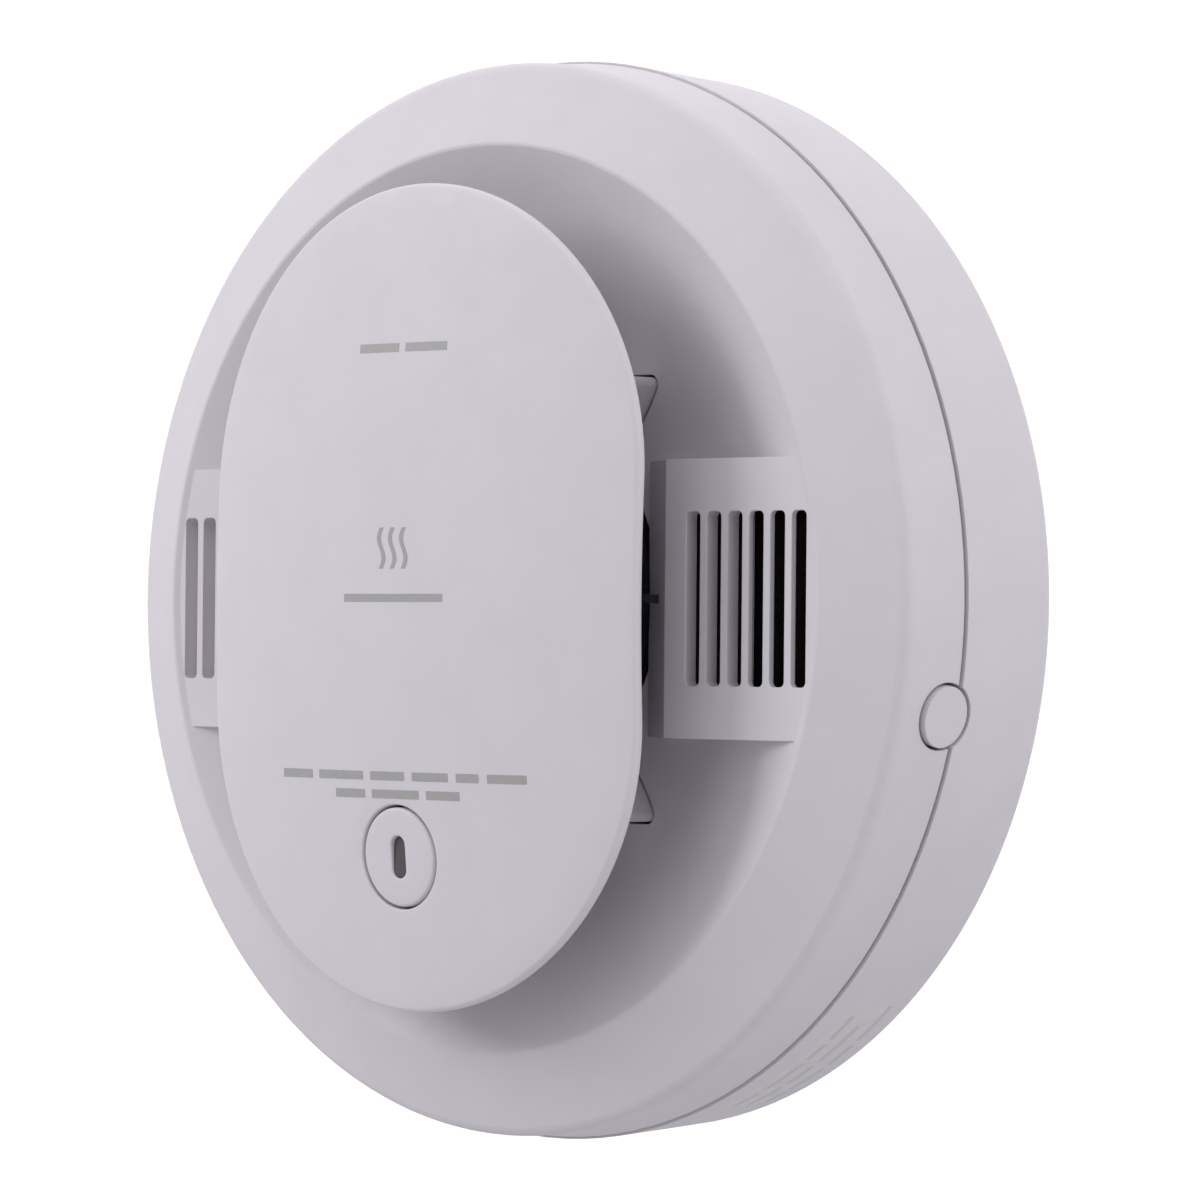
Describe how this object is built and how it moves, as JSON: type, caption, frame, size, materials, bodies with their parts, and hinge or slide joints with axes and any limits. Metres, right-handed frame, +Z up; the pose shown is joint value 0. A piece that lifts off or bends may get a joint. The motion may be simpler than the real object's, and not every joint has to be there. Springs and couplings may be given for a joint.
{
  "type": "smoke detector",
  "caption": "Round wall-mounted smoke alarm: dished housing with a raised domed cover, slotted horn panels, test button and twist-lock bracket.",
  "frame": {"origin": "centre of the two wall screws, on the bracket's back face, which is the wall plane", "axes": "+Y into the wall along the alarm's round axis, so the front faces -Y; +Z up, with the test button below the centre"},
  "size_m": [0.14, 0.0481, 0.14],
  "materials": {
    "white_plastic": "satin",
    "smoked_lens": "gloss",
    "spring_steel": "satin",
    "nickel_plate": "satin",
    "cell_jacket": "gloss",
    "green_board": "satin",
    "black_plastic": "matte",
    "capacitor_can": "gloss",
    "clear_lamp": "gloss",
    "label_film": "satin",
    "dark_screen": "matte",
    "brass_disc": "satin",
    "foam_ring": "matte"
  },
  "bodies": {
    "test_button": {"test_button": "white_plastic", "button_lens": "smoked_lens"},
    "switch_plunger": {"switch_plunger": "black_plastic"},
    "release_button": {"release_button": "white_plastic"},
    "battery_door": {"battery_door": "white_plastic"},
    "bracket": {"mounting_bracket": "white_plastic"},
    "alarm": {"rear_housing": "white_plastic", "front_housing": "white_plastic", "front_cover": "white_plastic", "button_spring": "spring_steel", "release_spring": "spring_steel", "door_hinge_pin": "spring_steel", "battery_upper": "cell_jacket", "battery_lower": "cell_jacket", "battery_bridge": "nickel_plate", "battery_terminals": "nickel_plate", "battery_springs": "spring_steel", "main_board": "green_board", "microcontroller": "black_plastic", "capacitors": "capacitor_can", "horn_transformer": "black_plastic", "status_led": "clear_lamp", "switch_body": "black_plastic", "housing_screws": "spring_steel", "rating_label": "label_film", "chamber_base": "black_plastic", "chamber_cap": "black_plastic", "insect_screen": "dark_screen", "ir_emitter": "clear_lamp", "photodiode": "black_plastic", "photodiode_shield": "nickel_plate", "horn_housing": "black_plastic", "piezo_disc": "brass_disc", "piezo_leads": "nickel_plate", "horn_gasket": "foam_ring"}
  },
  "joints": [
    {"name": "alarm_twist", "type": "hinge", "parent": "bracket", "child": "alarm", "pos_m": [0, 0, 0], "axis": [0, -1, 0], "range_deg": [0, 15]},
    {"name": "test_press", "type": "slide", "parent": "alarm", "child": "test_button", "axis": [0, 1, 0], "range_m": [0, 0.0006], "stiffness_N_per_m": 1500, "deforming": ["button_spring"]},
    {"name": "switch_press", "type": "slide", "parent": "alarm", "child": "switch_plunger", "axis": [0, 1, 0], "range_m": [0, 0.0006]},
    {"name": "release_press", "type": "slide", "parent": "alarm", "child": "release_button", "axis": [-0.9789, 0, 0.2045], "range_m": [0, 0.0015], "stiffness_N_per_m": 800, "deforming": ["release_spring"]},
    {"name": "door_swing", "type": "hinge", "parent": "alarm", "child": "battery_door", "pos_m": [0, -0.0043, 0.01435], "axis": [1, 0, 0], "range_deg": [0, 100]}
  ],
  "couplings": [
    {"joint": "switch_press", "follows": "test_press", "ratio": 1}
  ]
}
